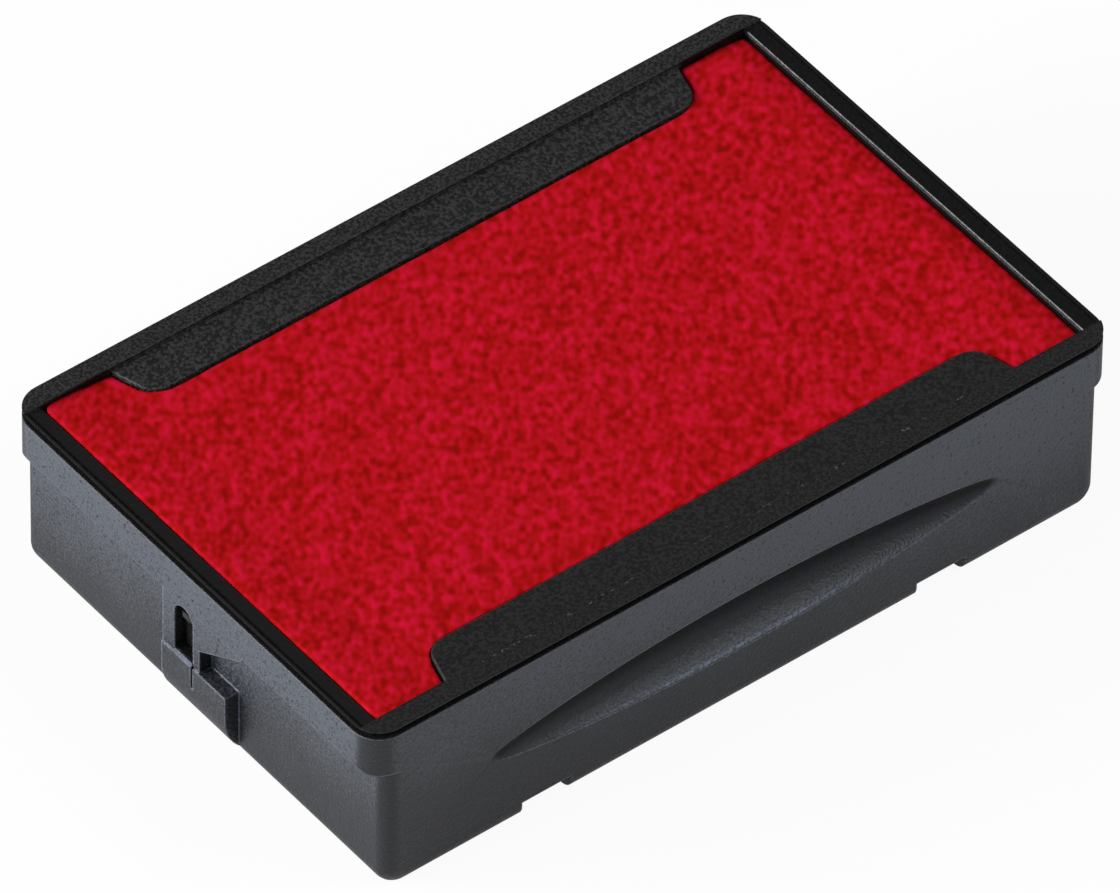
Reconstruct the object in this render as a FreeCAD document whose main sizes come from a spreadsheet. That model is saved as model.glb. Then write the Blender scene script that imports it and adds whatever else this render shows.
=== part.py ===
import FreeCAD, Part
import Sketcher
import os

# Refill ink pad cartridge for a self-inking stamp, in millimetres, +Z up, origin at the centre of
# its resting face and +X along its length.  The two ends are alike after half a turn about Z.

doc = FreeCAD.newDocument("ink_pad")
sheet = doc.addObject("Spreadsheet::Sheet", "sizes")
V = FreeCAD.Vector
# How a sketch numbers the points of a line or arc, and its own origin.
START, END, CENTRE = range(1, 4)
ORIGIN = -START

SIZES = [
    ("length", 45.0, "over the two end rails, and of the rim"),
    ("width", 28.5, "over the two long sides"),
    ("height", 10.9, "resting face to top of the long rims"),
    ("corner_round", 1.6, "upright corners of the rim and of the end rails"),
    ("rim_width", 1.15, "width of the rim band, and thickness of the wall below it"),
    ("rim_edge", 0.14, "thickness of the rim's outer edge above the shadow gap"),
    ("rim_undercut", 0.1, "lower edge of the rim, cut back above the shadow gap"),
    ("gap_height", 0.33, "height of the shadow gap between rim and tray"),
    ("gap_depth", 0.35, "depth of the shadow gap"),
    ("crown_drop", 0.04, "ridge of the end rims below the top of the long rims"),
    ("crown_edge", 0.3, "outer edge of an end rim to its ridge"),
    ("crown_fall_out", 0.06, "fall from the ridge to the outer edge"),
    ("crown_fall_in", 0.12, "fall from the ridge to the inner edge"),
    ("crown_chamfer", 0.12, "inner top edge of the end rims"),
    ("skirt_depth", 0.85, "reach of the frame's skirt into the tray"),
    ("skirt_thickness", 0.45, "wall of that skirt"),
    ("skirt_round", 0.8, "upright corners of that skirt"),
    ("fit_clearance", 0.05, "play between frame and tray, each side"),
    ("flap_length", 34.5, "retaining flap along its root"),
    ("flap_reach", 2.5, "flap from root to tip"),
    ("flap_slant", 0.7, "how far each flap end slants in"),
    ("flap_tip_round", 1.2, "corners of the flap's tip"),
    ("flap_thickness", 0.55, "flap"),
    ("flap_edge_round", 0.12, "upper edge of the flap"),
    ("flap_sink", 0.16, "top of the flap below the top of the long rims"),
    ("rail_height", 2.5, "end rail, from the top of the tray down to its lower edge"),
    ("rail_overhang", 0.8, "end rail beyond the end wall below it"),
    ("rail_bevel", 0.25, "lower edge of the end rails"),
    ("end_foot_round", 1.2, "rounding from each end wall into the resting face"),
    ("side_foot_round", 0.9, "rounding of the long sides into the resting face and the end walls"),
    ("wall", 1.2, "side walls, end walls and floor"),
    ("ledge_drop", 1.6, "top of the tray to the ledge above the end walls"),
    ("groove_width", 3.0, "cross groove in the resting face"),
    ("groove_depth", 1.15, "cross groove"),
    ("groove_place", 12.0, "centre of a cross groove from the middle"),
    ("rib_width", 0.8, "floor ribs that carry the felt core"),
    ("rib_pitch", 4.0, "from one middle rib to the next"),
    ("rib_end_place", 17.6, "the single rib beyond each groove, from the middle"),
    ("grip_length", 31.0, "finger scallop along the long side"),
    ("grip_height", 3.7, "scallop's mouth at its middle"),
    ("grip_depth", 1.4, "scallop at its middle"),
    ("grip_place", 5.3, "height of the scallop's middle"),
    ("grip_skin", 1.0, "wall left behind the scallop"),
    ("grip_back_height", 7.7, "top of the thickened wall behind the scallop"),
    ("nose_width", 5.0, "detent nose on each end"),
    ("nose_place", -0.35, "middle of the nose across the width"),
    ("nose_height", 4.5, "top of the nose's ledge"),
    ("nose_relief", 0.05, "nose beyond the end rail"),
    ("nose_foot_round", 2.9, "rounding under the nose"),
    ("cheek_back", 0.04, "cheek beside the window, behind the face of the rail"),
    ("window_width", 1.45, "latch window"),
    ("window_place", 0.5, "centre of the window from the middle"),
    ("web_width", 0.5, "web between window and pocket"),
    ("gusset_reach", 3.3, "gusset from the web along the rail"),
    ("gusset_height", 1.95, "gusset down the web"),
    ("split_width", 0.16, "fine split in the nose below the window"),
    ("split_height", 1.4, "fine split"),
    ("split_depth", 0.3, "fine split"),
    ("tongue_thickness", 0.45, "latch tongue of the frame"),
    ("tongue_gap", 0.15, "tongue to the sides and foot of its window"),
    ("hook_reach", 0.4, "latch hook out of its tongue"),
    ("hook_height", 1.3, "latch hook"),
    ("hook_drop", 0.6, "top of the hook below the top of the window"),
    ("felt_clearance", 0.1, "felt to the faces around it"),
    ("felt_edge_gap", 0.1, "cover felt to the rim around it"),
    ("felt_sink", 0.45, "top of the cover felt below the top of the long rims"),
    ("felt_corner", 0.5, "upright corners of the felts"),
]
for row, (alias, value, note) in enumerate(SIZES, start=1):
    sheet.set("A%d" % row, note)
    sheet.set("B%d" % row, str(value))
    sheet.setAlias("B%d" % row, alias)
doc.recompute()

# Levels and half sizes that several pieces share, each as a formula on the sheet.
DERIVED = {
    "half_length": "length / 2",
    "half_width": "width / 2",
    "tray_top": "height - rim_edge - gap_height",
    "rail_bottom": "tray_top - rail_height",
    "ledge": "tray_top - ledge_drop",
    "end_wall_out": "half_length - rail_overhang",
    "end_wall_in": "end_wall_out - wall",
    "side_wall_in": "half_width - rim_width",
    "rim_in": "half_length - rim_width",
    "skirt_bottom": "tray_top - skirt_depth",
    "core_seat": "groove_depth + wall",
    "grip_axis": "((grip_height / 2) ^ 2 - grip_depth ^ 2) / (2 * grip_depth)",
    "grip_bow": "((grip_length / 2) ^ 2 + grip_depth ^ 2) / (2 * grip_depth)",
    "grip_centre": "grip_bow - grip_depth + half_width",
    "cheek_face": "half_length - cheek_back",
    "nose_face": "half_length + nose_relief",
    "window_near": "window_place - window_width / 2",
    "window_far": "window_place + window_width / 2",
    "window_spring": "rail_bottom - window_width / 2",
    "channel_out": "rim_in + tongue_thickness + 2 * fit_clearance",
    "channel_foot": "nose_height + tongue_gap",
    "tongue_in": "rim_in + fit_clearance",
    "tongue_foot": "channel_foot + tongue_gap",
    "hook_top": "rail_bottom - hook_drop",
    "flap_root": "half_width - rim_width",
    "flap_top": "height - flap_sink",
    "felt_top": "height - felt_sink",
}
first_free = len(SIZES) + 2
for row, (alias, formula) in enumerate(DERIVED.items(), start=first_free):
    sheet.set("A%d" % row, alias.replace("_", " "))
    sheet.set("B%d" % row, "=" + formula)
    sheet.setAlias("B%d" % row, alias)
doc.recompute()


def sized(text):
    """A formula on the sheet's names, written the way the other objects have to read it."""
    names = set(DERIVED).union(alias for alias, value, note in SIZES)
    words = text.replace("(", "( ").replace(")", " )").split()
    return " ".join("sizes." + word if word in names else word for word in words)


def bind(item, field, text):
    item.setExpression(field, sized(text))


def new_body(label):
    body = doc.addObject("PartDesign::Body", label)
    body.Label = label
    return body


def origin_item(body, role):
    """One of the body's own planes or axes, by its role."""
    return next(item for item in body.Origin.OriginFeatures if item.Role == role)


def new_sketch(body, name, role, lift="0", shift="0"):
    """An empty sketch on one of the body's planes, lifted along its normal, shifted up its page."""
    sketch = body.newObject("Sketcher::SketchObject", name)
    sketch.AttachmentSupport = [(origin_item(body, role), "")]
    sketch.MapMode = "FlatFace"
    bind(sketch, "AttachmentOffset.Base.z", lift)
    bind(sketch, "AttachmentOffset.Base.y", shift)
    doc.recompute()
    return sketch


def hold(sketch, text, kind, *spots):
    """A dimension of a sketch, bound to a formula."""
    value = sketch.evalExpression(sized(text))
    index = sketch.addConstraint(Sketcher.Constraint(kind, *spots, value))
    bind(sketch, "Constraints[%d]" % index, text)


def hold_level(sketch, geometry, point, up):
    hold(sketch, up, "DistanceY", ORIGIN, START, geometry, point)


def hold_radius(sketch, arc, text):
    hold(sketch, text, "Radius", arc)


def place_point(sketch, geometry, point, across, up):
    """Hold one point of a sketch at two formulas from the sketch's origin."""
    hold(sketch, across, "DistanceX", ORIGIN, START, geometry, point)
    hold_level(sketch, geometry, point, up)


def outline(sketch, points):
    """A closed outline of straight lines through points given as pairs of formulas."""
    values = [V(*(sketch.evalExpression(sized(text)) for text in pair), 0) for pair in points]
    first = sketch.GeometryCount
    count = len(points)
    for here in range(count):
        sketch.addGeometry(Part.LineSegment(values[here], values[(here + 1) % count]), False)
    for here in range(count):
        following = first + (here + 1) % count
        sketch.addConstraint(Sketcher.Constraint("Coincident", first + here, END, following, START))
    for here, (across, up) in enumerate(points):
        place_point(sketch, first + here, START, across, up)


def rectangle(sketch, left, right, bottom, top):
    outline(sketch, [(left, bottom), (right, bottom), (right, top), (left, top)])


def centred(sketch, half_across, half_up):
    minus = "0 - ( %s )"
    rectangle(sketch, minus % half_across, half_across, minus % half_up, half_up)


def arc_through(sketch, start, middle, end):
    """An arc between two sketch points, with its place left to the constraints that follow."""
    spot = [V(*(sketch.evalExpression(sized(text)) for text in pair), 0) for pair in (start, middle, end)]
    return sketch.addGeometry(Part.Arc(*spot), False)


def open_outline(sketch, points, crown, centre_up):
    """Straight lines through the points, closed from the last to the first by an arc over the crown."""
    values = [V(*(sketch.evalExpression(sized(text)) for text in pair), 0) for pair in points]
    last = len(points) - 1
    for here in range(last):
        sketch.addGeometry(Part.LineSegment(values[here], values[here + 1]), False)
    arc = arc_through(sketch, points[-1], crown, points[0])
    forward = (sketch.getPoint(arc, START) - values[-1]).Length < (values[-1] - values[0]).Length / 2
    for here in range(last - 1):
        sketch.addConstraint(Sketcher.Constraint("Coincident", here, END, here + 1, START))
    sketch.addConstraint(Sketcher.Constraint("Coincident", last - 1, END, arc, START if forward else END))
    sketch.addConstraint(Sketcher.Constraint("Coincident", arc, END if forward else START, 0, START))
    for here, (across, up) in enumerate(points[:-1]):
        place_point(sketch, here, START, across, up)
    place_point(sketch, last - 1, END, *points[-1])
    hold_level(sketch, arc, CENTRE, centre_up)


def pad(body, name, sketch, length, both_ways=False, down=False):
    item = body.newObject("PartDesign::Pad", name)
    item.Profile = sketch
    item.SideType = "Symmetric" if both_ways else "One side"
    item.Reversed = down
    bind(item, "Length", length)
    doc.recompute()
    return item


def pocket(body, name, sketch, length, both_ways=False, up=False):
    """Cut a sketch into the body, and refuse a cut that takes nothing away."""
    before = body.Shape.Volume
    item = body.newObject("PartDesign::Pocket", name)
    item.Profile = sketch
    item.SideType = "Symmetric" if both_ways else "One side"
    item.Reversed = up
    bind(item, "Length", length)
    doc.recompute()
    if body.Shape.Volume >= before - 1e-6:
        raise RuntimeError(name + " cuts nothing")
    return item


def edges_where(shape, wanted):
    return ["Edge%d" % number for number, edge in enumerate(shape.Edges, start=1) if wanted(edge)]


def along(edge, axis):
    """True for a straight edge that runs along axis 0, 1 or 2."""
    return isinstance(edge.Curve, Part.Line) and abs(abs(edge.Curve.Direction[axis]) - 1) < 1e-6


def level_at(edge, height):
    """True for an edge that lies flat at this height."""
    return near(edge.BoundBox.ZMin, height) and near(edge.BoundBox.ZMax, height)


def middle(edge):
    return edge.BoundBox.Center


def size(alias):
    return float(sheet.get(alias))


def near(value, target):
    return abs(value - target) < 1e-4


def fillet(body, name, base, names, radius):
    item = body.newObject("PartDesign::Fillet", name)
    item.Base = (base, names)
    bind(item, "Radius", radius)
    doc.recompute()
    return item


def chamfer(body, name, base, names, reach):
    item = body.newObject("PartDesign::Chamfer", name)
    item.Base = (base, names)
    bind(item, "Size", reach)
    doc.recompute()
    return item


def half_turn(body, name, originals):
    """The same features again at the other end, half a turn about Z."""
    item = body.newObject("PartDesign::PolarPattern", name)
    item.Originals = originals
    item.Axis = (origin_item(body, "Z_Axis"), [""])
    item.Angle = 360
    item.Occurrences = 2
    body.Tip = item
    doc.recompute()
    return item


def mirrored(body, name, originals, role):
    item = body.newObject("PartDesign::Mirrored", name)
    item.Originals = originals
    item.MirrorPlane = (origin_item(body, role), [""])
    body.Tip = item
    doc.recompute()
    return item


# Tray: the outside first, from the feet up, then what is cut into it, then its floor.
def tray_outside(tray):
    foot = new_sketch(tray, "foot_outline", "XY_Plane")
    centred(foot, "end_wall_out", "half_width")
    lower = pad(tray, "lower_block", foot, "rail_bottom")
    ends = edges_where(lower.Shape, lambda e: along(e, 1) and near(middle(e).z, 0))
    rolled = fillet(tray, "end_foot_rounds", lower, ends, "end_foot_round")

    def on_long_side(edge):
        box = edge.BoundBox
        return near(box.YLength, 0) and near(abs(box.YMax), size("half_width")) \
            and not near(box.ZMin, size("rail_bottom"))
    fillet(tray, "side_foot_rounds", rolled, edges_where(rolled.Shape, on_long_side), "side_foot_round")

    rail = new_sketch(tray, "rail_outline", "XY_Plane", lift="rail_bottom")
    centred(rail, "half_length", "half_width")
    upper = pad(tray, "rail_block", rail, "rail_height")
    corners = edges_where(upper.Shape, lambda e: along(e, 2) and near(abs(middle(e).x), size("half_length")))
    fillet(tray, "rail_corners", upper, corners, "corner_round")

    bevel = new_sketch(tray, "rail_bevel_section", "XZ_Plane")
    for sign in ("0 - ", ""):
        outline(bevel, [(sign + "half_length", "rail_bottom + rail_bevel"),
                        (sign + "( half_length - rail_bevel )", "rail_bottom"),
                        (sign + "( half_length - rail_bevel )", "rail_bottom - rail_bevel"),
                        (sign + "( half_length + rail_bevel )", "rail_bottom - rail_bevel"),
                        (sign + "( half_length + rail_bevel )", "rail_bottom + rail_bevel")])
    pocket(tray, "rail_bevels", bevel, "width", both_ways=True)


def finger_grips(tray):
    """A spindle cut into each long side: deepest in the middle, running out at both ends."""
    section = new_sketch(tray, "grip_section", "XY_Plane", lift="grip_place",
                         shift="0 - half_width - grip_axis")
    depth = "( grip_axis + grip_depth )"
    reach = "sqrt( grip_bow ^ 2 - ( grip_bow - " + depth + " ) ^ 2 )"
    bow = arc_through(section, (reach, "0"), ("0", depth), ("0 - " + reach, "0"))
    axis = section.addGeometry(Part.LineSegment(V(-1, 0, 0), V(1, 0, 0)), False)
    section.addConstraint(Sketcher.Constraint("Coincident", axis, START, bow, END))
    section.addConstraint(Sketcher.Constraint("Coincident", axis, END, bow, START))
    section.addConstraint(Sketcher.Constraint("Horizontal", axis))
    section.addConstraint(Sketcher.Constraint("PointOnObject", axis, START, ORIGIN))
    hold_radius(section, bow, "grip_bow")
    place_point(section, bow, CENTRE, "0", depth + " - grip_bow")
    cut = tray.newObject("PartDesign::Groove", "grip_cut")
    cut.Profile = section
    cut.ReferenceAxis = (section, ["H_Axis"])
    cut.Angle = 360
    doc.recompute()
    mirrored(tray, "grip_cuts", [cut], "XZ_Plane")


def chamber(tray):
    deep = new_sketch(tray, "chamber_outline", "XY_Plane", lift="tray_top")
    centred(deep, "end_wall_in", "side_wall_in")
    pocket(tray, "chamber", deep, "tray_top - wall")
    shallow = new_sketch(tray, "ledge_outline", "XY_Plane", lift="tray_top")
    centred(shallow, "rim_in", "side_wall_in")
    pocket(tray, "ledge", shallow, "ledge_drop")
    rebate = new_sketch(tray, "rebate_outline", "XY_Plane", lift="tray_top")
    reach = " + skirt_thickness + fit_clearance"
    centred(rebate, "rim_in" + reach, "side_wall_in" + reach)
    pocket(tray, "skirt_rebate", rebate, "skirt_depth + fit_clearance")


def grip_backs(tray):
    """The long walls grow inwards behind the scallops, on a bow that keeps the scallop's skin."""
    plan = new_sketch(tray, "grip_back_plan", "XY_Plane", lift="wall")
    bow_radius = "( grip_bow + grip_skin )"
    wall_line = "( half_width - wall / 2 )"
    reach = "sqrt( " + bow_radius + " ^ 2 - ( grip_centre - " + wall_line + " ) ^ 2 )"
    crest = "0 - half_width + grip_depth + grip_skin"
    left_end, right_end = ("0 - " + reach, "0 - " + wall_line), (reach, "0 - " + wall_line)
    bow = arc_through(plan, right_end, ("0", crest), left_end)
    chord = plan.addGeometry(Part.LineSegment(V(-1, -1, 0), V(1, -1, 0)), False)
    plan.addConstraint(Sketcher.Constraint("Coincident", chord, START, bow, END))
    plan.addConstraint(Sketcher.Constraint("Coincident", chord, END, bow, START))
    hold_radius(plan, bow, bow_radius)
    place_point(plan, bow, CENTRE, "0", "0 - grip_centre")
    plan.addConstraint(Sketcher.Constraint("Horizontal", chord))
    hold_level(plan, chord, START, "0 - " + wall_line)
    back = pad(tray, "grip_back", plan, "grip_back_height - wall")
    mirrored(tray, "grip_backs", [back], "XZ_Plane")


def end_detents(tray):
    """Nose, cheek, web and gusset on the -X end, with the latch window and its channel, then both ends."""
    side = new_sketch(tray, "nose_side", "XZ_Plane", lift="0 - nose_place")
    foot_end = "0 - nose_face + nose_foot_round"
    inside = "0 - end_wall_in + wall"
    turn = "nose_foot_round * ( 1 - sqrt( 0.5 ) )"
    corners = [("0 - nose_face", "nose_foot_round"), ("0 - nose_face", "nose_height"),
               (inside, "nose_height"), (inside, "0"), (foot_end, "0")]
    open_outline(side, corners, ("0 - nose_face + " + turn, turn), "nose_foot_round")
    nose = pad(tray, "nose", side, "nose_width", both_ways=True)

    face = new_sketch(tray, "cheek_face_outline", "YZ_Plane", lift="0 - cheek_face")
    web = "window_near - web_width"
    gusset = web + " - gusset_reach"
    sunk, raised = "nose_height - split_depth", "rail_bottom + wall / 2"
    cheek_end = "nose_place + nose_width / 2"
    outline(face, [(cheek_end, sunk), (cheek_end, raised), (gusset, raised),
                   (gusset, "rail_bottom"), (web, "rail_bottom - gusset_height"), (web, sunk)])
    cheek = pad(tray, "cheek", face, "rail_overhang")

    slot = new_sketch(tray, "channel_outline", "XY_Plane", lift="tray_top")
    rectangle(slot, "0 - channel_out", "0 - rim_in", "window_near", "window_far")
    channel = pocket(tray, "latch_channel", slot, "tray_top - channel_foot")

    mouth = new_sketch(tray, "window_outline", "YZ_Plane", lift="0 - nose_face - wall")
    open_outline(mouth, [("window_far", "window_spring"), ("window_far", "channel_foot"),
                         ("window_near", "channel_foot"), ("window_near", "window_spring")],
                 ("window_place", "rail_bottom"), "window_spring")
    window = pocket(tray, "latch_window", mouth, "nose_face + wall - channel_out + fit_clearance", up=True)

    line = new_sketch(tray, "split_outline", "YZ_Plane", lift="0 - nose_face - wall")
    rectangle(line, "window_near - split_width / 2", "window_near + split_width / 2",
              "nose_height - split_height", "nose_height + split_width")
    split = pocket(tray, "nose_split", line, "wall + split_depth", up=True)
    half_turn(tray, "both_ends", [nose, cheek, channel, window, split])


def feet_and_ribs(tray):
    plan = new_sketch(tray, "hump_plan", "XY_Plane", lift="wall / 2")
    reach = "groove_width / 2 + wall"
    rectangle(plan, "groove_place - " + reach, "groove_place + " + reach, "0 - side_wall_in", "side_wall_in")
    hump = pad(tray, "groove_hump", plan, "core_seat - wall / 2")
    mirrored(tray, "groove_humps", [hump], "YZ_Plane")

    end = new_sketch(tray, "end_rib_plan", "XY_Plane", lift="wall / 2")
    rib_half = "side_wall_in - 2 * grip_skin"
    rectangle(end, "rib_end_place - rib_width / 2", "rib_end_place + rib_width / 2",
              "0 - ( " + rib_half + " )", rib_half)
    end_rib = pad(tray, "end_rib", end, "core_seat - wall / 2")
    mirrored(tray, "end_ribs", [end_rib], "YZ_Plane")

    mid = new_sketch(tray, "mid_rib_plan", "XY_Plane", lift="wall / 2")
    rectangle(mid, "0 - 2 * rib_pitch - rib_width / 2", "0 - 2 * rib_pitch + rib_width / 2",
              "0 - ( " + rib_half + " )", rib_half)
    rib = pad(tray, "mid_rib", mid, "core_seat - wall / 2")
    ribs = tray.newObject("PartDesign::LinearPattern", "mid_ribs")
    ribs.Originals = [rib]
    ribs.Direction = (origin_item(tray, "X_Axis"), [""])
    ribs.Length = 4 * size("rib_pitch")
    ribs.Occurrences = 5
    bind(ribs, "Length", "4 * rib_pitch")
    tray.Tip = ribs
    doc.recompute()

    across = new_sketch(tray, "groove_side", "XZ_Plane")
    half = "groove_width / 2"
    rectangle(across, "groove_place - " + half, "groove_place + " + half, "0 - groove_depth", "groove_depth")
    groove = pocket(tray, "cross_groove", across, "2 * width", both_ways=True)
    mirrored(tray, "cross_grooves", [groove], "YZ_Plane")


def make_tray():
    tray = new_body("tray")
    tray_outside(tray)
    finger_grips(tray)
    chamber(tray)
    grip_backs(tray)
    feet_and_ribs(tray)
    end_detents(tray)
    return tray


# Frame: a thin rim on a set-back neck and skirt, with two flaps over the felt and two latch tongues.
def make_frame():
    frame = new_body("retaining_frame")
    skirt = new_sketch(frame, "skirt_outline", "XY_Plane", lift="skirt_bottom")
    centred(skirt, "rim_in + skirt_thickness", "side_wall_in + skirt_thickness")
    block = pad(frame, "skirt", skirt, "skirt_depth")
    fillet(frame, "skirt_corners", block, edges_where(block.Shape, lambda e: along(e, 2)), "skirt_round")
    neck = new_sketch(frame, "neck_outline", "XY_Plane", lift="tray_top")
    centred(neck, "half_length - gap_depth", "half_width - gap_depth")
    necked = pad(frame, "neck", neck, "gap_height")
    inner = edges_where(necked.Shape, lambda e: along(e, 2) and middle(e).z > size("tray_top"))
    fillet(frame, "neck_corners", necked, inner, "corner_round - gap_depth")
    rim = new_sketch(frame, "rim_outline", "XY_Plane", lift="height - rim_edge")
    centred(rim, "half_length", "half_width")
    rimmed = pad(frame, "rim", rim, "rim_edge")
    outer = edges_where(rimmed.Shape, lambda e: along(e, 2) and near(abs(middle(e).x), size("half_length")))
    plate = fillet(frame, "rim_corners", rimmed, outer, "corner_round")
    underside = size("height") - size("rim_edge")
    below = edges_where(plate.Shape, lambda e: level_at(e, underside) and any(
        near(abs(v.X), size("half_length")) or near(abs(v.Y), size("half_width")) for v in e.Vertexes))
    chamfer(frame, "rim_undercuts", plate, below, "rim_undercut")
    opening = new_sketch(frame, "opening_outline", "XY_Plane", lift="height")
    centred(opening, "rim_in", "side_wall_in")
    pocket(frame, "opening", opening, "2 * height", both_ways=True)

    crown = new_sketch(frame, "crown_section", "XZ_Plane")
    above = "height + crown_edge"
    ridge = "height - crown_drop"
    for sign in ("0 - ", ""):
        outline(crown, [(sign + "( half_length + crown_edge )", above),
                        (sign + "( half_length + crown_edge )", ridge + " - 2 * crown_fall_out"),
                        (sign + "( half_length - crown_edge )", ridge),
                        (sign + "( rim_in + crown_chamfer )", ridge + " - crown_fall_in"),
                        (sign + "rim_in", ridge + " - crown_fall_in - crown_chamfer"),
                        (sign + "( rim_in - crown_edge )", ridge + " - crown_fall_in - crown_chamfer"),
                        (sign + "( rim_in - crown_edge )", above)])
    pocket(frame, "end_crowns", crown, "2 * side_wall_in", both_ways=True)

    flap = new_sketch(frame, "flap_outline", "XY_Plane", lift="flap_top - flap_thickness")
    root = "0 - flap_root"
    tip_half = "( flap_length / 2 - flap_slant )"
    bite = "skirt_thickness / 2"
    outline(flap, [("0 - flap_length / 2", root), ("0 - flap_length / 2", root + " - " + bite),
                   ("flap_length / 2", root + " - " + bite), ("flap_length / 2", root),
                   (tip_half, root + " + flap_reach"), ("0 - " + tip_half, root + " + flap_reach")])
    flat = pad(frame, "flap", flap, "flap_thickness")
    mirrored(frame, "flaps", [flat], "XZ_Plane")
    tips = edges_where(frame.Shape, lambda e: along(e, 2)
                       and near(abs(middle(e).y), size("flap_root") - size("flap_reach")))
    cut_flaps = fillet(frame, "flap_tips", frame.Tip, tips, "flap_tip_round")
    free = edges_where(cut_flaps.Shape, lambda e: level_at(e, size("flap_top"))
                       and min(abs(v.Y) for v in e.Vertexes) < size("flap_root") - size("flap_edge_round"))
    fillet(frame, "flap_edges", cut_flaps, free, "flap_edge_round")

    tongue = new_sketch(frame, "tongue_outline", "XY_Plane", lift="tongue_foot")
    rectangle(tongue, "0 - tongue_in - tongue_thickness", "0 - tongue_in",
              "window_near + tongue_gap", "window_far - tongue_gap")
    blade = pad(frame, "tongue", tongue, "skirt_bottom - tongue_foot + skirt_depth / 4")
    hook = new_sketch(frame, "hook_side", "XZ_Plane", lift="0 - window_place")
    base = "0 - tongue_in - tongue_thickness / 2"
    face = "0 - tongue_in - tongue_thickness"
    beak = face + " - hook_reach"
    outline(hook, [(base, "hook_top - hook_height"), (base, "hook_top"), (beak, "hook_top"),
                   (beak, "hook_top - hook_height / 4"), (face, "hook_top - hook_height")])
    barb = pad(frame, "hook", hook, "window_width / 2", both_ways=True)
    half_turn(frame, "latches", [blade, barb])
    return frame


# Felts: a thick core that stores the ink, waisted beside the grip backs, under a thin cover felt.
def make_core():
    core = new_body("felt_core")
    plan = new_sketch(core, "core_plan", "XY_Plane", lift="core_seat + felt_clearance")
    across = "( end_wall_in - felt_clearance )"
    up = "( side_wall_in - felt_clearance )"
    centred(plan, across, up)
    block = pad(core, "block", plan, "ledge - core_seat - felt_clearance")
    corners = edges_where(block.Shape, lambda e: along(e, 2))
    fillet(core, "core_corners", block, corners, "felt_corner")
    bite = new_sketch(core, "waist_plan", "XY_Plane", lift="core_seat")
    bow_radius = "( grip_bow + grip_skin + felt_clearance )"
    circle = bite.addGeometry(Part.Circle(V(0, bite.evalExpression(sized("0 - grip_centre")), 0), V(0, 0, 1),
                                          bite.evalExpression(sized(bow_radius))), False)
    hold_radius(bite, circle, bow_radius)
    place_point(bite, circle, CENTRE, "0", "0 - grip_centre")
    waist = pocket(core, "waist", bite, "grip_back_height - core_seat + felt_clearance", up=True)
    mirrored(core, "waists", [waist], "XZ_Plane")
    return core


def make_cover():
    cover = new_body("cover_felt")
    plan = new_sketch(cover, "cover_plan", "XY_Plane", lift="ledge + felt_clearance")
    centred(plan, "rim_in - felt_edge_gap", "side_wall_in - felt_edge_gap")
    sheet_of_felt = pad(cover, "felt", plan, "felt_top - ledge - felt_clearance")
    corners = edges_where(sheet_of_felt.Shape, lambda e: along(e, 2))
    fillet(cover, "cover_corners", sheet_of_felt, corners, "felt_corner")
    press = new_sketch(cover, "pressed_outline", "XY_Plane", lift="felt_top")
    root_half = "( flap_length / 2 + felt_clearance )"
    tip_half = "( flap_length / 2 - flap_slant + felt_clearance )"
    tip = "flap_reach + felt_clearance - flap_root"
    outline(press, [("0 - " + root_half, "0 - flap_root"), (root_half, "0 - flap_root"),
                    (tip_half, tip), ("0 - " + tip_half, tip)])
    pressed = pocket(cover, "pressed", press, "felt_top - flap_top + flap_thickness + felt_clearance")
    mirrored(cover, "pressed_sides", [pressed], "XZ_Plane")
    return cover


pieces = [make_tray(), make_frame(), make_core(), make_cover()]
doc.recompute()

for item in doc.Objects:
    if "Invalid" in item.State or "Error" in item.State:
        raise RuntimeError("%s did not build: %s" % (item.Name, item.State))
for piece in pieces:
    if piece.Shape.isNull() or not piece.Shape.isValid() or len(piece.Shape.Solids) != 1:
        raise RuntimeError(piece.Label + " is not one valid solid")

os.makedirs("parts", exist_ok=True)
for piece in pieces:
    piece.Shape.exportStep("parts/%s.step" % piece.Label)
    print(piece.Label, "volume %.1f" % piece.Shape.Volume)
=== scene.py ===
import math

import bpy
from mathutils import Matrix, Vector, noise


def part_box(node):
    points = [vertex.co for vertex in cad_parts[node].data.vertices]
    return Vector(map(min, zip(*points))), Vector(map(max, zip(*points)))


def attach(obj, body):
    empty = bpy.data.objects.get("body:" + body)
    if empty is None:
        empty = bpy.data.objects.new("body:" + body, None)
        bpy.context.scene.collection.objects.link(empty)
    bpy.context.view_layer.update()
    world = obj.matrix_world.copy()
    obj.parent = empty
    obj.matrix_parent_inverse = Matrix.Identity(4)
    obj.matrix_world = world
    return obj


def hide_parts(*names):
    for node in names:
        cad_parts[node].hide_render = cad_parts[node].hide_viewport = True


# A refill ink pad cartridge: the moulded tray with its finger grips scooped out, the frame that clips on
# it, and its two felts, on a pale studio floor.

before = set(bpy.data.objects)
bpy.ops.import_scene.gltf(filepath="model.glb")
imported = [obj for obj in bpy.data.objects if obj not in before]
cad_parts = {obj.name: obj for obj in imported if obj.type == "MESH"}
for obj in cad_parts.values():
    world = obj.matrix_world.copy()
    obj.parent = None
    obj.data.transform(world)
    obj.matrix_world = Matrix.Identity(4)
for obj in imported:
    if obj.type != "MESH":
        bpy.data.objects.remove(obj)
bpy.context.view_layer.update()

MM = 0.001

# Corners of the two felts, in metres as the frame gives them.
COVER_LOW, COVER_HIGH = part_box("cover_felt")
CORE_LOW, CORE_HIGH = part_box("felt_core")

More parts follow.
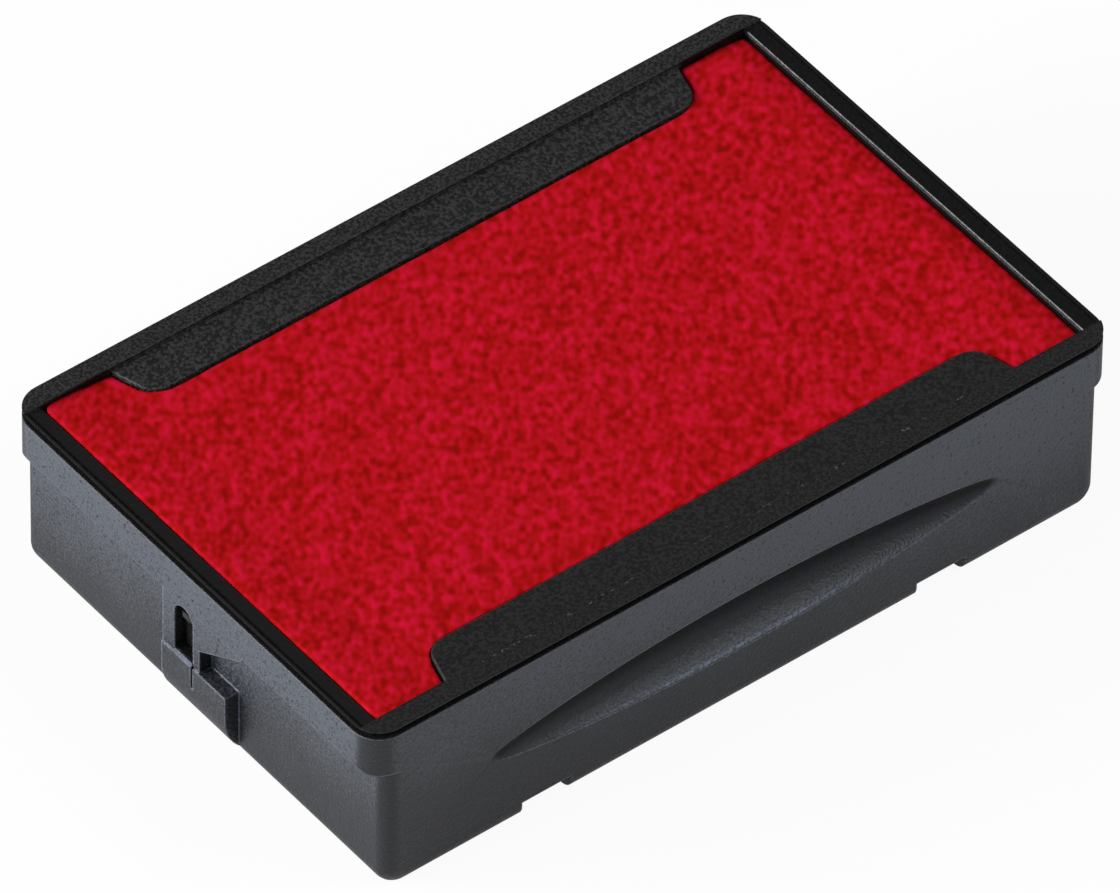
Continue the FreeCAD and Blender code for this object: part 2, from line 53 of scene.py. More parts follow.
# The case, in mm: its outside, the top of the tray inside it, the band of its rim, and the flaps' roots.
HALF_LENGTH, HALF_WIDTH, RIM_TOP = (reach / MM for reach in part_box("retaining_frame")[1])
TRAY_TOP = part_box("tray")[1][2] / MM
FELT_PLAY = 0.1
RIM_WIDTH = HALF_LENGTH - COVER_HIGH[0] / MM - FELT_PLAY
FLAP_ROOT = HALF_WIDTH - RIM_WIDTH

# The frame, in mm: half a flap's root, its tip from the middle, how far it reaches and its ends slant, the
# tip's corners, the rim's thin edge, and the depth of the shadow gap below it.
FLAP_HALF = 17.25
FLAP_TIP = 10.6
FLAP_REACH = 2.5
FLAP_SLANT = 0.7
TIP_ROUND = 1.2
RIM_EDGE = 0.14
GAP_DEPTH = 0.35

# The latch window in each end wall, in mm: its centre from the middle, and half its width.
WINDOW_PLACE = 0.5
WINDOW_HALF = 0.725

# The spindle that scoops out each finger grip, in mm. SCOOP_SPARE makes it a little larger than the packed
# one, to clear that one's facets.
GRIP_HEIGHT = 5.3
SCOOP_LENGTH = 31.0
SCOOP_MOUTH = 3.7
SCOOP_DEPTH = 1.4
SCOOP_SPARE = 0.015
SCOOP_SEGMENTS = 96
SCOOP_RINGS = 72

# The tray's mesh: corners nearer than this in metres are one, and edges under this angle look smooth.
WELD = 1e-7
SMOOTH_BELOW = math.radians(28)

# The cover felt, in mm: how far it creeps out past its solid, its corners and rolled edge, how far it swells
# and climbs one rim, how far the flaps press it down, and the height of its fine and broad unevenness.
EDGE_CREEP = 0.07
FELT_CORNER = 0.5
EDGE_ROLL = 0.12
SWELL = 0.11
BANK = 0.12
PRESS_DEPTH = 0.34
FINE_NAP = 0.02
BROAD_NAP = 0.03
FELT_HALF_LENGTH = COVER_HIGH[0] / MM + EDGE_CREEP
FELT_HALF_WIDTH = COVER_HIGH[1] / MM + EDGE_CREEP

# Over which distances, in mm: into a flap's outline, in from the other rim, in from any edge, and towards
# the rim that it climbs.
SINK_ZONE = (-0.16, -0.02)
SWELL_ZONE = (0.2, 1.6)
ROLL_ZONE = (-0.01, 0.3)
BANK_ZONE = (FELT_HALF_LENGTH - 4.0, FELT_HALF_LENGTH - 0.8)

# Its grid, fine where it bends under the flaps: how far each zone goes from the middle, and its spacing.
COLUMN_ZONES = ((FLAP_HALF - 2.0, 0.27), (FLAP_HALF + 0.2, 0.10), (FELT_HALF_LENGTH, 0.25))
ROW_ZONES = ((FLAP_TIP - 0.25, 0.23), (FLAP_TIP + 0.1, 0.05), (FLAP_TIP + 1.2, 0.10), (FELT_HALF_WIDTH, 0.2))

# The nap of the felt, turned about the upright axis.
NAP_TURN = math.radians(-38.61)

# The felt core: how deep its waist is beside a grip, how far that waist runs from the middle and how high
# its lumps are, in mm, and how many cuts divide each edge of its block.
WAIST_DEPTH = 1.35
WAIST_REACH = 15.5
CORE_LUMPS = 0.04
CORE_CUTS = 40

# Floor, lights and surroundings, in metres and watts.
FLOOR_SIZE = 3.0
FLOOR_COLOUR = (0.86, 0.86, 0.86, 1)
SEEN_LIFT = 0.93
MIRRORED_LIFT = 0.45
KEY_PLACE = (-1.08, 0.46, 0.48)
KEY_POWER = 28.0
KEY_SIZE = (1.0, 0.5)
FILL_PLACE = (0.50, -0.62, 0.90)
FILL_POWER = 5.5
FILL_SIZE = (0.5, 0.4)
LOW_LIGHT = (0.50, 0.50, 0.50, 1)
HIGH_LIGHT = (0.06, 0.06, 0.06, 1)
WORLD_STRENGTH = 0.9

# Camera: its direction in radians, its lens and film in mm, how far off in metres, and its aim in mm.
VIEW_TURN = math.radians(-38.61)
VIEW_RISE = math.radians(45.08)
VIEW_LEAN = math.radians(0.87)
VIEW_LENS = 642.86
VIEW_FILM = 36.0
VIEW_DISTANCE = 0.9601
VIEW_AIM = (0.062, 0.281, 5.261)
VIEW_NEAREST = 0.01
VIEW_FARTHEST = 20.0

ALONG, ACROSS, UP = (1, 0, 0), (0, 1, 0), (0, 0, 1)


# ---------------------------------------------------------------- shader maths
class Value:
    """A number or colour on its way through a node tree, so that shader maths reads as an expression."""

    def __init__(self, nodes, socket):
        self.nodes = nodes
        self.socket = socket

    def maths(self, operation, first, second=0.0):
        return self.nodes.node("ShaderNodeMath", {"operation": operation}, {0: first, 1: second})

    def __add__(self, other):
        return self.maths("ADD", self, other)

    def __radd__(self, other):
        return self.maths("ADD", other, self)

    def __sub__(self, other):
        return self.maths("SUBTRACT", self, other)

    def __rsub__(self, other):
        return self.maths("SUBTRACT", other, self)

    def __mul__(self, other):
        return self.maths("MULTIPLY", self, other)

    def __rmul__(self, other):
        return self.maths("MULTIPLY", other, self)

    def __abs__(self):
        return self.maths("ABSOLUTE", self)

    def sign(self):
        return self.maths("SIGN", self)

    def or_larger(self, other):
        return self.maths("MAXIMUM", self, other)


class Nodes:
    """The node tree of a material or of the world."""

    def __init__(self, tree):
        self.tree = tree

    def node(self, kind, settings=None, inputs=None, output=0):
        """Any node: its settings first, then what its sockets hold or take."""
        item = self.tree.nodes.new(kind)
        for field, setting in (settings or {}).items():
            if field == "stops":
                self.set_stops(item.color_ramp, setting)
            else:
                setattr(item, field, setting)
        for socket, given in (inputs or {}).items():
            if isinstance(given, Value):
                self.tree.links.new(given.socket, item.inputs[socket])
            else:
                item.inputs[socket].default_value = given
        return Value(self, item.outputs[output])

    @staticmethod
    def set_stops(ramp, stops):
        """A new ramp has its first and last stop, and the others are added between them."""
        for element, (position, colour) in zip(ramp.elements, (stops[0], stops[-1])):
            element.position = position
            element.color = colour
        for position, colour in stops[1:-1]:
            ramp.elements.new(position).color = colour

    def outputs(self, value, names):
        """Several outputs of the node that a value comes from."""
        return [Value(self, value.socket.node.outputs[name]) for name in names]

    def axes(self, vector):
        """The X, Y and Z of a vector."""
        return self.outputs(self.node("ShaderNodeSeparateXYZ", {}, {0: vector}), "XYZ")


class Finish(Nodes):
    """One material: a principled surface whose constants are set here and whose patterns are linked in."""

    def __init__(self, name, **constants):
        self.material = bpy.data.materials.new(name)
        self.material.use_nodes = True
        super().__init__(self.material.node_tree)
        self.surface = self.tree.nodes["Principled BSDF"]
        for socket, amount in constants.items():
            self.surface.inputs[socket.replace("_", " ")].default_value = amount
        place = self.node("ShaderNodeTexCoord", output="Object")
        self.mm = self.node("ShaderNodeVectorMath", {"operation": "SCALE"}, {0: place, "Scale": 1 / MM})
        self.x, self.y, self.z = self.axes(self.mm)

    def agreement(self, first, second):
        """How far two directions agree: 1 where they are the same."""
        return self.node("ShaderNodeVectorMath", {"operation": "DOT_PRODUCT"}, {0: first, 1: second},
                         output="Value")

    def toward(self, direction):
        """The part of the surface's direction that goes along another one."""
        return self.agreement(self.node("ShaderNodeTexCoord", output="Normal"), direction)

    def noise(self, scale, detail=2.0, distortion=0.0, vector=None, offset=0.0):
        """Noise with features about 1/scale mm across, centred on 0.5."""
        vector = vector or self.mm
        if offset:
            vector = self.node("ShaderNodeVectorMath", {"operation": "ADD"}, {0: vector, 1: (offset,) * 3})
        return self.node("ShaderNodeTexNoise", {}, {"Vector": vector, "Scale": scale, "Detail": detail,
                                                    "Roughness": 0.5, "Distortion": distortion})

    def step(self, amount, none, full):
        """0 up to one amount and 1 from another, smooth between them. Either may be the larger."""
        return self.node("ShaderNodeMapRange", {"interpolation_type": "SMOOTHSTEP"},
                         {"Value": amount, "From Min": none, "From Max": full})

    def mix(self, factor, first, second):
        """One colour or another, or a share of each."""
        return self.node("ShaderNodeMix", {"data_type": "RGBA"}, {0: factor, 6: first, 7: second}, output=2)

    def blend(self, factor, first, second):
        """One number or another, or a share of each."""
        return self.node("ShaderNodeMix", {"data_type": "FLOAT"}, {0: factor, 2: first, 3: second})

    def ramp(self, amount, *stops):
        """A colour that changes with an amount, from stop to stop."""
        return self.node("ShaderNodeValToRGB", {"stops": stops}, {0: amount})

    def soft_edges(self, radius):
        """A normal that rolls over every sharp edge, with a radius in mm."""
        return self.node("ShaderNodeBevel", {"samples": 6}, {"Radius": radius * MM})

    def on_edge(self, rolled):
        """1 where such a normal has left the surface's own, 0 on the flat."""
        flat = self.node("ShaderNodeNewGeometry", output="Normal")
        return self.step(self.agreement(rolled, flat), 0.985, 0.90)

    def bump(self, height, depth, before=None):
        """A relief of the given depth in mm, on top of an earlier one."""
        inputs = {"Height": height, "Distance": depth * MM, "Strength": 1.0}
        if before:
            inputs["Normal"] = before
        return self.node("ShaderNodeBump", {}, inputs)

    def link(self, **sockets):
        for socket, given in sockets.items():
            self.tree.links.new(given.socket, self.surface.inputs[socket.replace("_", " ")])


# ---------------------------------------------------------------- plastic
def slate(level):
    """The cool grey that the case's skin weathers to, also used for its painted shade and highlights, at a
    given brightness.
    """
    return (level * 0.89, level, level * 1.28, 1.0)


def jet(level):
    """The plastic's own black, where it isn't weathered; also used for painted shade and highlights."""
    return (level, level * 1.05, level * 1.02, 1.0)


def greying_and_painted_shade(finish, grain):
    """How grey the tray looks, from 0 to 1: weathered by its grain and a broad drift, plus painted shading
    that makes it paler towards the top, towards +X along each long side and towards +Y across each end.
    """
    drift = finish.noise(0.25, offset=77.0)
    # Painted shade: paler towards the top and along the walls, standing in for how the light falls on them.
    height = finish.step(finish.z, 0.0, RIM_TOP)
    shade_along_side = abs(finish.toward(ACROSS)) * finish.x * (0.14 / HALF_LENGTH)
    shade_across_end = abs(finish.toward(ALONG)) * finish.y * (0.05 / HALF_WIDTH)
    return finish.step(grain * 0.55 + drift * 0.15 + height * 0.30 + (shade_along_side + shade_across_end), 0.33, 0.71)


def tray_skin(finish, grey, pits):
    """The tray's grained skin, darkest in its pits, with painted shade darkening its upright corners."""
    dry = finish.mix(grey, slate(0.011), slate(0.067))
    # Painted shade on the upright corners, where the light falls off between the two lit walls.
    on_corner = finish.step(abs(finish.toward(ALONG) * finish.toward(ACROSS)), 0.10, 0.36)
    corner_shaded = finish.mix(on_corner * 0.85, dry, slate(0.008))
    return finish.mix(finish.step(pits, 0.60, 0.72), corner_shaded, slate(0.011))


def grip_painted_light_and_grain(finish, grain, upward):
    """A finger grip's painted light: painted shade under its lip and a painted highlight along its up-facing
    foot, broken up by the grain.
    """
    # Painted light by the way the surface faces: shade where it faces out or down, highlight where it faces
    # up.
    painted_grip_light = finish.ramp(upward, (0.05, jet(0.001)), (0.32, slate(0.006)), (0.58, slate(0.021)),
                          (0.82, slate(0.036)), (0.90, slate(0.130)), (0.95, slate(0.340)))
    return finish.mix(0.42 * finish.step(grain, 0.60, 0.40), painted_grip_light, jet(0.002))


def in_grip(finish):
    """1 in both finger grips."""
    half_mouth, half_length = SCOOP_MOUTH / 2, SCOOP_LENGTH / 2
    sunk = finish.step(HALF_WIDTH - abs(finish.y), 0.03, 0.12)
    level = finish.step(abs(finish.z - GRIP_HEIGHT), half_mouth + 0.05, half_mouth - 0.05)
    return sunk * level * finish.step(abs(finish.x), half_length + 0.1, half_length - 0.4)


def painted_shade_in_window_and_gap(finish):
    """1 inside both latch windows, which are alike after half a turn, and in the gap below the rim: the
    places that painted shade darkens.
    """
    turned = finish.y * finish.x.sign() * -1
    beside = finish.step(abs(turned - WINDOW_PLACE), WINDOW_HALF + 0.01, WINDOW_HALF - 0.01)
    window = beside * finish.step(abs(finish.x), HALF_LENGTH - 0.1, HALF_LENGTH - 0.2)
    return window.or_larger(finish.step(finish.z, TRAY_TOP - 0.03, TRAY_TOP - 0.005))


def tray_plastic():
    """Black moulded plastic with an eroded grain and weathered grey, with painted light: paler towards the
    top, painted highlights on its edges, and painted shade on its corners, in its grips, latch windows and
    the gap below the rim.
    """
    finish = Finish("tray_plastic", IOR=1.5, Specular_IOR_Level=0.36)
    grain = finish.noise(7.0, detail=1.0)
    pits = finish.noise(5.2, detail=1.0, offset=31.0)
    grey = greying_and_painted_shade(finish, grain)
    rolled = finish.soft_edges(0.15)
    # Painted highlight: pale lines along every edge, broken up by the grain.
    painted_edge_highlight = finish.on_edge(rolled) * (0.45 + 0.55 * finish.step(grain, 0.35, 0.6))
    outside = finish.mix(painted_edge_highlight, tray_skin(finish, grey, pits), slate(0.19))
    grip = in_grip(finish)
    upward = finish.toward(UP)
    # The grips take their painted shade and highlight.
    with_grip_shading = finish.mix(grip * (0.86 + 0.14 * grey), outside, grip_painted_light_and_grain(finish, grain, upward))
    polish = 0.42 + 0.12 * finish.step(grain, 0.3, 0.7)
    # Painted shade: the latch windows and the gap below the rim are painted near black.
    finish.link(Base_Color=finish.mix(painted_shade_in_window_and_gap(finish), with_grip_shading, jet(0.004)),
                Roughness=polish + 0.35 * grip * finish.step(upward, 0.6, 0.1),
                Normal=finish.bump(grain * 0.6 + pits * 0.4, 0.055, before=rolled))
    return finish.material


def root_scuffs(finish, in_from_root):
    """1 on the short scuffs that wander along the root of the near flap."""
    scuffs = finish.step(finish.noise(7.0, detail=1.0, offset=43.0), 0.50, 0.58)
    stretches = finish.step(finish.noise(0.5, detail=1.0, offset=57.0), 0.42, 0.50)
    wander = finish.noise(2.2, offset=69.0) * 0.5 - 0.25
    on_root = finish.step(abs(in_from_root + wander), 0.10, 0.05)
    return scuffs * stretches * (on_root * finish.step(abs(finish.x), FLAP_HALF - 1.0, FLAP_HALF - 2.0))


def painted_shade_in_frame_gap(finish):
    """1 on the frame's neck, below the rim's thin edge and outside the tray's wall, where painted shade
    darkens it.
    """
    below = finish.step(finish.z, RIM_TOP - RIM_EDGE + 0.01, RIM_TOP - RIM_EDGE - 0.01)
    from_end = finish.step(abs(finish.x), HALF_LENGTH - GAP_DEPTH - 0.10, HALF_LENGTH - GAP_DEPTH - 0.05)
    from_side = finish.step(abs(finish.y), HALF_WIDTH - GAP_DEPTH - 0.10, HALF_WIDTH - GAP_DEPTH - 0.05)
    return below * from_end.or_larger(from_side)


def frame_plastic():
    """The same plastic on the frame: leathery on the flaps, finer on the long rims, bare on the end rims,
    with painted shade on the end rims' outer strip, the long rims' inner walls and the gap below the rim, and
    painted highlights along the flaps' edges.
    """
    finish = Finish("frame_plastic", IOR=1.46, Specular_IOR_Level=0.38)
    leather = finish.noise(5.0, detail=1.0, distortion=0.3, offset=11.0)
    fine = finish.noise(6.5, detail=1.0)
    in_from_root = FLAP_ROOT - abs(finish.y)
    past_felt = abs(finish.x) - (HALF_LENGTH - RIM_WIDTH)
    near_side = finish.step(finish.y, 2.0, -2.0)
    on_flap = finish.step(in_from_root, -0.08, 0.08)
    bare = on_flap * finish.step(past_felt, -0.05, -0.01)
    depth = 1 - 0.60 * near_side
    grain = finish.blend(on_flap, fine * 0.5, leather * depth) * (1 - bare * 0.9)
    tone = finish.step(finish.blend(on_flap, fine, leather), 0.36, 0.66)

    worn = finish.mix(tone * depth, jet(0.0065), jet(0.027))
    # Painted shade: the end rims' outer strip is painted black.
    crest = bare * finish.step(past_felt, RIM_WIDTH - 0.36, RIM_WIDTH - 0.28)
    bare_rims_and_shade = finish.mix(bare, worn, finish.mix(crest, jet(0.005), jet(0.001)))
    on_tip = finish.step(in_from_root, 0.2, 0.4) * (1 - bare)
    # Painted highlight along the flaps' tips and slanted ends.
    with_edge_highlight = finish.mix(finish.on_edge(finish.soft_edges(0.10)) * on_tip, bare_rims_and_shade, jet(0.110))
    flecks = finish.step(finish.noise(3.5, detail=1.0, offset=91.0), 0.50, 0.62)
    scuff = finish.mix(flecks, jet(0.0008), jet(0.085))
    scuffed = finish.mix(root_scuffs(finish, in_from_root) * near_side, with_edge_highlight, scuff)
    past_flap = finish.step(abs(finish.x), FLAP_HALF, FLAP_HALF + 0.3)
    # Painted shade on the long rims' inner walls beyond the flaps.
    shaded_inner_wall = finish.step(in_from_root, -0.03, -0.01) * past_flap * (1 - bare)

    outer_strip = finish.step(past_felt, RIM_WIDTH - 0.16, RIM_WIDTH - 0.10)
    inner_strip = finish.step(past_felt, 0.004, 0.012) * finish.step(past_felt, 0.075, 0.060)
    dull = bare * outer_strip.or_larger(inner_strip)
    # Painted shade: the gap below the rim and those inner walls are painted black.
    finish.link(Base_Color=finish.mix(painted_shade_in_frame_gap(finish).or_larger(shaded_inner_wall), scuffed, jet(0.001)),
                Roughness=0.46 + 0.12 * tone - 0.20 * bare + 0.45 * dull,
                Normal=finish.bump(grain, 0.09, before=finish.soft_edges(0.05)))
    return finish.material


# ---------------------------------------------------------------- felt
def inked_felt():
    """Felt soaked with red ink: darker pores winding between lighter tufts, the nap lying one way."""
    finish = Finish("inked_felt", IOR=1.36, Specular_IOR_Level=0.05)
    nap = finish.node("ShaderNodeMapping", {"vector_type": "TEXTURE"},
                      {"Vector": finish.mm, "Rotation": (0, 0, NAP_TURN), "Scale": (1, 1.45, 1)})
    drift = finish.noise(0.4, detail=1.0, offset=5.0)
    tufts = finish.noise(2.1, detail=0.0, vector=nap)
    pores = finish.noise(3.2, detail=0.0, vector=nap, offset=19.0)
    pile = tufts * 0.41 + pores * 0.49 + drift * 0.10
    colour = finish.ramp(pile, (0.30, (0.270, 0.0030, 0.0025, 1)), (0.42, (0.360, 0.0040, 0.0045, 1)),
                         (0.52, (0.432, 0.0050, 0.0105, 1)), (0.70, (0.560, 0.0062, 0.0320, 1)))
    finish.link(Base_Color=colour,
                Roughness=0.75 + 0.15 * finish.step(pile, 0.4, 0.6),
                Normal=finish.bump(pile, 0.06))
    return finish.material


def core_felt():
    """The storage felt below: coarser and darker, heavy with ink, its fibres lying flat in layers."""
    finish = Finish("core_felt", IOR=1.36, Specular_IOR_Level=0.3)
    layers = finish.node("ShaderNodeVectorMath", {"operation": "MULTIPLY"},
                         {0: finish.mm, 1: (0.5, 0.5, 2.5)})
    fibres = finish.noise(1.6, detail=4.0, distortion=0.6, vector=layers)
    wet, dry = (0.12, 0.003, 0.004, 1), (0.34, 0.005, 0.012, 1)
    finish.link(Base_Color=finish.mix(finish.step(fibres, 0.3, 0.7), wet, dry),
                Roughness=0.55 + 0.3 * finish.step(fibres, 0.4, 0.6),
                Normal=finish.bump(fibres, 0.4))
    return finish.material


# ---------------------------------------------------------------- modelling
def deselect():
    bpy.ops.object.select_all(action="DESELECT")


def select_alone(piece):
    deselect()
    piece.select_set(True)
    bpy.context.view_layer.objects.active = piece


def just_added():
    """The primitive that an operator has just made."""
    return bpy.context.view_layer.objects.active


def apply_place():
    """Put the selected piece's place, turn and size into its mesh."""
    bpy.ops.object.transform_apply(location=True, rotation=True, scale=True)


# ---------------------------------------------------------------- tray
def scoop_cutter(side):
    """A closed spindle along one long side, its axis off the wall and its bow running out at both ends."""
    half_mouth, half_length = SCOOP_MOUTH / 2, SCOOP_LENGTH / 2
    stand_off = (half_mouth ** 2 - SCOOP_DEPTH ** 2) / (2 * SCOOP_DEPTH)
    bow = (half_length ** 2 + SCOOP_DEPTH ** 2) / (2 * SCOOP_DEPTH)
    waist = stand_off + SCOOP_DEPTH + SCOOP_SPARE
    reach = math.sqrt(bow ** 2 - (bow - waist) ** 2)
    axis_place = side * (HALF_WIDTH + stand_off)
    deselect()
    bpy.ops.mesh.primitive_uv_sphere_add(segments=SCOOP_SEGMENTS, ring_count=SCOOP_RINGS, radius=1.0,
                                         rotation=(0, math.pi / 2, 0))
    cutter = just_added()
    apply_place()
    for vertex in cutter.data.vertices:
        along, out, up = vertex.co
        around = math.hypot(out, up) or 1.0
        radius = max(0.0, math.sqrt(bow ** 2 - (along * reach) ** 2) - bow + waist)
        across = axis_place + radius * out / around
        vertex.co = Vector((along * reach, across, GRIP_HEIGHT + radius * up / around)) * MM
    return cutter


def scoop_out(piece, side):
    """Cut one finger grip."""
    cutter = scoop_cutter(side)
    select_alone(piece)
    scoop = piece.modifiers.new("scoop", "BOOLEAN")
    scoop.operation = "DIFFERENCE"
    scoop.solver = "EXACT"
    scoop.object = cutter
    bpy.ops.object.modifier_apply(modifier="scoop")
    bpy.data.objects.remove(cutter)


def even_shading(piece):
    """Smooth shading that the long thin triangles beside a cut don't pull askew."""
    bpy.ops.object.shade_smooth_by_angle(angle=SMOOTH_BELOW)
    evened = piece.modifiers.new("evened", "WEIGHTED_NORMAL")
    evened.mode = "FACE_AREA"
    evened.weight = 100
    evened.keep_sharp = True
    bpy.ops.object.modifier_apply(modifier="evened")


def make_tray():
    """The tray as packed, with both finger grips scooped to their full depth."""
    piece = bpy.data.objects.new("tray_shell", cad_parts["tray"].data.copy())
    bpy.context.scene.collection.objects.link(piece)
    select_alone(piece)
    bpy.ops.mesh.customdata_custom_splitnormals_clear()
    bpy.ops.object.mode_set(mode="EDIT")
    bpy.ops.mesh.select_all(action="SELECT")
    bpy.ops.mesh.remove_doubles(threshold=WELD)
    bpy.ops.object.mode_set(mode="OBJECT")
    for side in (-1, 1):
        scoop_out(piece, side)
    even_shading(piece)
    piece.data.materials.clear()
    piece.data.materials.append(tray_plastic())
    return piece


# ---------------------------------------------------------------- felts
def smooth(amount, none, full):
    """0 up to one amount and 1 from another, smooth between them."""
    share = max(0.0, min(1.0, (amount - none) / (full - none)))
    return share * share * (3 - 2 * share)


def flap_depth(x, y):
    """How far inside the outline of a flap a point lies, in mm: negative outside it."""
    from_tip = abs(y) - FLAP_TIP
    from_end = (FLAP_HALF - abs(x)) * FLAP_REACH - (FLAP_ROOT - abs(y)) * FLAP_SLANT
    from_end /= math.hypot(FLAP_REACH, FLAP_SLANT)
    if from_tip < TIP_ROUND and from_end < TIP_ROUND:
        return TIP_ROUND - math.hypot(TIP_ROUND - from_tip, TIP_ROUND - from_end)
    return min(from_tip, from_end)


def spread(zones):
    """Places across a whole side, in mm, from zones that start at its middle."""
    places = [0.0]
    for until, spacing in zones:
        while places[-1] < until - spacing / 2:
            places.append(places[-1] + spacing)
    reach = zones[-1][0]
    half = [place * reach / places[-1] for place in places[1:]]
    return [-place for place in reversed(half)] + [0.0] + half


def rounded(x, y):
    """Where a point of the square grid goes, in mm, so that the felt's corners are round."""
    over_x = abs(x) - FELT_HALF_LENGTH + FELT_CORNER
    over_y = abs(y) - FELT_HALF_WIDTH + FELT_CORNER
    if over_x > 0 and over_y > 0:
        pull = max(over_x, over_y) / math.hypot(over_x, over_y)
        x -= math.copysign(over_x * (1 - pull), x)
        y -= math.copysign(over_y * (1 - pull), y)
    return x, y


def felt_lift(spot):
    """How far the felt's face rises at a place, in mm: up in a swell and at one rim, down under the flaps."""
    pressed = smooth(flap_depth(spot.x, spot.y), *SINK_ZONE)
    banked = smooth(-spot.x, *BANK_ZONE)
    swell = SWELL * smooth(FELT_HALF_LENGTH - spot.x, *SWELL_ZONE) + BANK * banked
    nap = noise.fractal(spot * 0.8, 1.0, 2.0, 3) * FINE_NAP + noise.noise(spot * 0.12) * BROAD_NAP
    from_edge = min(FELT_HALF_LENGTH - abs(spot.x), FELT_HALF_WIDTH - abs(spot.y))
    roll = EDGE_ROLL * (1 - smooth(from_edge, *ROLL_ZONE)) * (1 - banked)
    return (swell + nap - roll) * (1 - pressed) - PRESS_DEPTH * pressed


def felt_sheet():
    """The cover felt while it is flat: a grid with round corners, extruded to its thickness."""
    columns, rows = spread(COLUMN_ZONES), spread(ROW_ZONES)
    deselect()
    bpy.ops.mesh.primitive_grid_add(x_subdivisions=len(columns) - 1, y_subdivisions=len(rows) - 1, size=2.0,
                                    location=(0, 0, COVER_LOW[2]))
    sheet = just_added()
    apply_place()
    for vertex in sheet.data.vertices:
        column = round((vertex.co.x + 1) / 2 * (len(columns) - 1))
        row = round((vertex.co.y + 1) / 2 * (len(rows) - 1))
        x, y = rounded(columns[column], rows[row])
        vertex.co.xy = x * MM, y * MM
    bpy.ops.object.mode_set(mode="EDIT")
    bpy.ops.mesh.select_all(action="SELECT")
    bpy.ops.mesh.extrude_region_move(TRANSFORM_OT_translate={"value": (0, 0, COVER_HIGH[2] - COVER_LOW[2])})
    bpy.ops.mesh.select_all(action="SELECT")
    bpy.ops.mesh.normals_make_consistent(inside=False)
    bpy.ops.object.mode_set(mode="OBJECT")
    return sheet


def make_cover():
    """The felt that shows: a thin pad that swells between the flaps and is pressed down under them."""
    piece = felt_sheet()
    piece.name = "cover_felt_pad"
    for vertex in piece.data.vertices:
        if vertex.co.z > COVER_HIGH[2] - 0.1 * MM:
            vertex.co.z += felt_lift(vertex.co / MM) * MM
    bpy.ops.object.shade_smooth()
    piece.data.materials.append(inked_felt())
    return piece


def make_core():
    """The storage felt, waisted at both long sides where the case bulges in behind its finger grips."""
    deselect()
    middle = [(low + high) / 2 for low, high in zip(CORE_LOW, CORE_HIGH)]
    bpy.ops.mesh.primitive_cube_add(size=1.0, location=middle)
    piece = just_added()
    piece.name = "felt_core_block"
    piece.scale = [high - low for low, high in zip(CORE_LOW, CORE_HIGH)]
    apply_place()
    bpy.ops.object.mode_set(mode="EDIT")
    bpy.ops.mesh.subdivide(number_cuts=CORE_CUTS)
    bpy.ops.object.mode_set(mode="OBJECT")
    for vertex in piece.data.vertices:
        spot = vertex.co / MM
        waist = max(0.0, WAIST_DEPTH * (1 - (spot.x / WAIST_REACH) ** 2)) * MM
        if abs(vertex.co.y) > CORE_HIGH[1] - waist:
            vertex.co.y = math.copysign(CORE_HIGH[1] - waist, vertex.co.y)
        vertex.co += vertex.co.normalized() * noise.noise(spot * 0.8) * CORE_LUMPS * MM
    bpy.ops.object.shade_smooth()
    piece.data.materials.append(core_felt())
    return piece


# ---------------------------------------------------------------- the pieces on their body
shell = make_tray()
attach(shell, "root")
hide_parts("tray")

frame_finish = frame_plastic()
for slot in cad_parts["retaining_frame"].material_slots:
    slot.material = frame_finish

cover = make_cover()
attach(cover, "root")
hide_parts("cover_felt")

core = make_core()
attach(core, "root")
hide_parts("felt_core")


# ---------------------------------------------------------------- floor, lights and camera
def floor_finish():
    """Matt white, lifted towards the background's white where the camera or a reflection looks at it."""
    finish = Finish("studio_floor", Base_Color=FLOOR_COLOUR, Roughness=0.9, Specular_IOR_Level=0.0)
    rays = ("Is Camera Ray", "Is Glossy Ray", "Is Transmission Ray")
    seen, mirrored, through = finish.outputs(finish.node("ShaderNodeLightPath"), rays)
    share = (seen * SEEN_LIFT).or_larger(mirrored.or_larger(through) * MIRRORED_LIFT)
    white = finish.node("ShaderNodeEmission", {}, {"Color": (1, 1, 1, 1), "Strength": 1.0})
    matt = Value(finish, finish.surface.outputs[0])
    mixed = finish.node("ShaderNodeMixShader", {}, {0: share, 1: matt, 2: white})
    finish.tree.links.new(mixed.socket, finish.tree.nodes["Material Output"].inputs["Surface"])
    return finish.material


def make_floor():
    deselect()
    bpy.ops.mesh.primitive_plane_add(size=FLOOR_SIZE, location=(0, 0, 0))
    floor = just_added()
    floor.name = "floor"
    floor.data.materials.append(floor_finish())


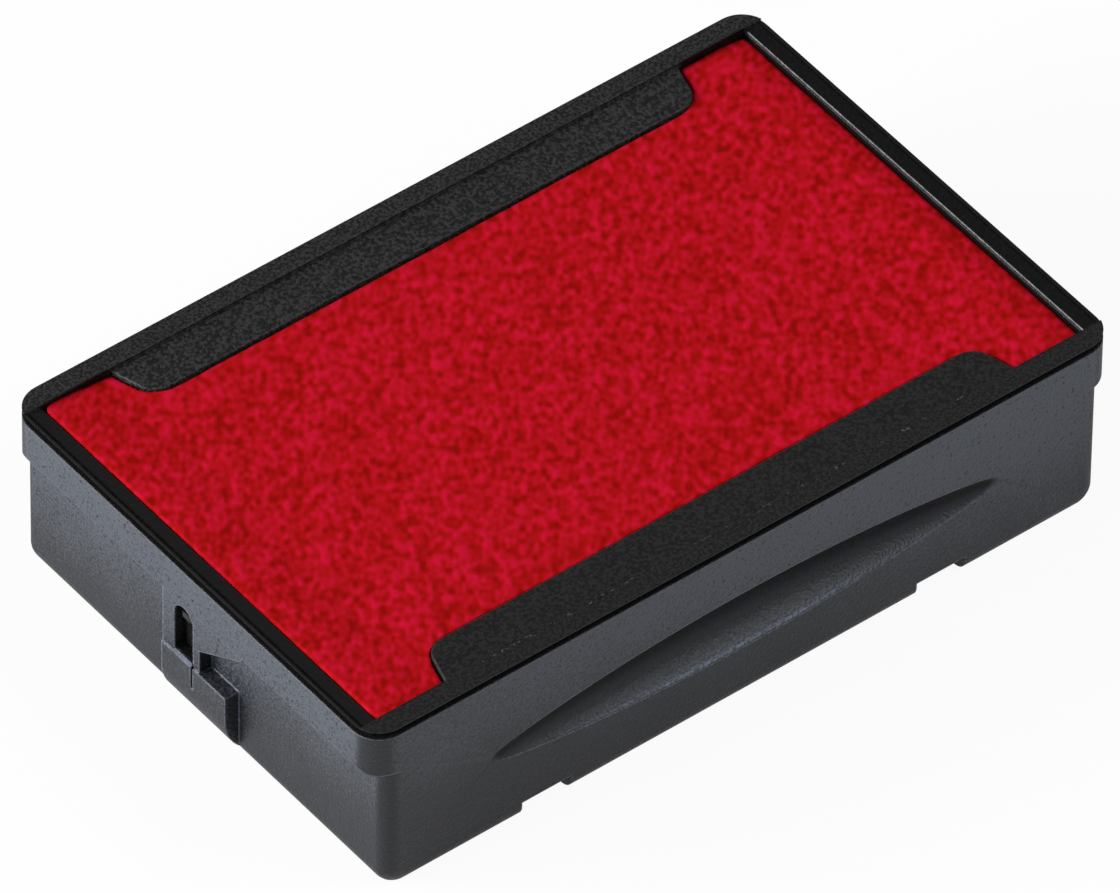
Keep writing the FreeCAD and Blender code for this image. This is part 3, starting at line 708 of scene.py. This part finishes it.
def softbox(name, place, power, size):
    """A rectangular lamp that faces the object."""
    light = bpy.data.lights.new(name, "AREA")
    light.shape = "RECTANGLE"
    light.size, light.size_y = size
    light.energy = power
    item = bpy.data.objects.new(name, light)
    bpy.context.scene.collection.objects.link(item)
    item.location = place
    item.rotation_euler = (-Vector(place)).to_track_quat("-Z", "Y").to_euler()


def make_camera():
    """A long lens from above the near left corner."""
    back = Vector((math.sin(VIEW_TURN) * math.cos(VIEW_RISE), -math.cos(VIEW_TURN) * math.cos(VIEW_RISE),
                   math.sin(VIEW_RISE)))
    level = Vector((math.cos(VIEW_TURN), math.sin(VIEW_TURN), 0))
    upward = back.cross(level)
    right = level * math.cos(VIEW_LEAN) + upward * math.sin(VIEW_LEAN)
    up = upward * math.cos(VIEW_LEAN) - level * math.sin(VIEW_LEAN)
    data = bpy.data.cameras.new("camera")
    data.lens = VIEW_LENS
    data.sensor_width = VIEW_FILM
    data.clip_start = VIEW_NEAREST
    data.clip_end = VIEW_FARTHEST
    item = bpy.data.objects.new("camera", data)
    bpy.context.scene.collection.objects.link(item)
    basis = Matrix((right, up, back)).transposed().to_4x4()
    item.matrix_world = Matrix.Translation(Vector(VIEW_AIM) * MM + back * VIEW_DISTANCE) @ basis
    bpy.context.scene.camera = item


def make_world():
    """Soft light from all round, weakest overhead."""
    world = bpy.data.worlds.new("studio")
    bpy.context.scene.world = world
    world.use_nodes = True
    sky = Nodes(world.node_tree)
    height = sky.axes(sky.node("ShaderNodeTexCoord", output="Generated"))[2]
    glow = sky.node("ShaderNodeValToRGB", {"stops": ((0.0, LOW_LIGHT), (0.75, HIGH_LIGHT))}, {0: height})
    background = sky.tree.nodes["Background"]
    sky.tree.links.new(glow.socket, background.inputs["Color"])
    background.inputs["Strength"].default_value = WORLD_STRENGTH


make_floor()
softbox("key_box", KEY_PLACE, KEY_POWER, KEY_SIZE)
softbox("fill_box", FILL_PLACE, FILL_POWER, FILL_SIZE)
make_camera()
make_world()
bpy.context.scene.view_settings.view_transform = "Standard"
